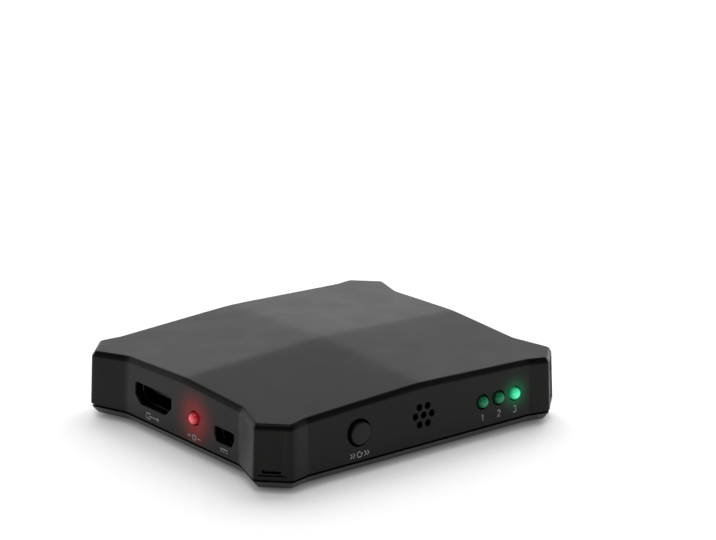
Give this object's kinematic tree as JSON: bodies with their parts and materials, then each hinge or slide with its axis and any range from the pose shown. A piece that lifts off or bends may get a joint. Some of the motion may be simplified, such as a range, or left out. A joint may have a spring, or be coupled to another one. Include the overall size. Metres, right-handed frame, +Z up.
{
  "type": "hdmi switch box",
  "caption": "Low square video switch box with eared corners, a faceted roof, a select button, input lamps, an output socket and a power socket on one end, and input sockets at the rear.",
  "frame": {"origin": "middle of the footprint, on the table", "axes": "+X along the front panel to the right as seen from the front, +Y to the rear, +Z up"},
  "size_m": [0.09, 0.078, 0.0196],
  "materials": {
    "case_black": "satin black moulded plastic",
    "button_black": "satin black moulded plastic",
    "foot_rubber": "matt black rubber",
    "screw_steel": "zinc plated steel",
    "switch_plastic": "matt black moulded plastic",
    "switch_steel": "tinned steel sheet",
    "plunger_brown": "matt brown moulded plastic",
    "lamp_green": "green diffused lens, dim",
    "lamp_green_lit": "green diffused lens, lit",
    "lamp_red_lit": "red diffused lens, lit",
    "lead_tin": "tinned wire and sheet",
    "receiver_black": "dark infrared window plastic",
    "socket_nickel": "nickel plated steel sheet",
    "socket_black": "black moulded insulator",
    "contact_gold": "gold plated contacts",
    "board_green": "green solder mask over glass laminate",
    "chip_black": "matt black moulding compound",
    "can_aluminium": "bright drawn can",
    "chip_tan": "fired ceramic"
  },
  "bodies": {
    "case": {"top_cover": "case_black", "bottom_cover": "case_black", "rubber_feet": "foot_rubber", "board_screws": "screw_steel", "push_switch_base": "switch_plastic", "push_switch_cover": "switch_steel", "push_switch_terminals": "lead_tin", "input_lamp_1": "lamp_green", "input_lamp_2": "lamp_green", "input_lamp_3": "lamp_green_lit", "input_lamp_leads": "lead_tin", "power_lamp": "lamp_red_lit", "power_lamp_leads": "lead_tin", "ir_receiver": "receiver_black", "ir_receiver_leads": "lead_tin", "hdmi_out_shell": "socket_nickel", "hdmi_out_insulator": "socket_black", "hdmi_out_contacts": "contact_gold", "hdmi_in_1_shell": "socket_nickel", "hdmi_in_1_insulator": "socket_black", "hdmi_in_1_contacts": "contact_gold", "hdmi_in_2_shell": "socket_nickel", "hdmi_in_2_insulator": "socket_black", "hdmi_in_2_contacts": "contact_gold", "hdmi_in_3_shell": "socket_nickel", "hdmi_in_3_insulator": "socket_black", "hdmi_in_3_contacts": "contact_gold", "mini_usb_shell": "socket_nickel", "mini_usb_insulator": "socket_black", "mini_usb_contacts": "contact_gold", "circuit_board": "board_green", "switch_chip": "chip_black", "switch_chip_leads": "lead_tin", "control_chip": "chip_black", "control_chip_leads": "lead_tin", "voltage_regulator": "chip_black", "voltage_regulator_leads": "lead_tin", "can_capacitors": "can_aluminium", "can_capacitor_bases": "chip_black", "chip_capacitors": "chip_tan", "chip_resistors": "chip_black", "surge_arrays": "chip_black", "crystal": "can_aluminium"},
    "button": {"select_button": "button_black"},
    "plunger": {"push_switch_plunger": "plunger_brown"}
  },
  "joints": [
    {"name": "button_press", "type": "slide", "parent": "case", "child": "button", "axis": [0, 1, 0], "range_m": [0, 0.0005], "stiffness_N_per_m": 600, "springref_m": -0.0005},
    {"name": "plunger_press", "type": "slide", "parent": "case", "child": "plunger", "axis": [0, 1, 0], "range_m": [0, 0.0005]}
  ],
  "couplings": [
    {"joint": "plunger_press", "follows": "button_press", "ratio": 1}
  ]
}
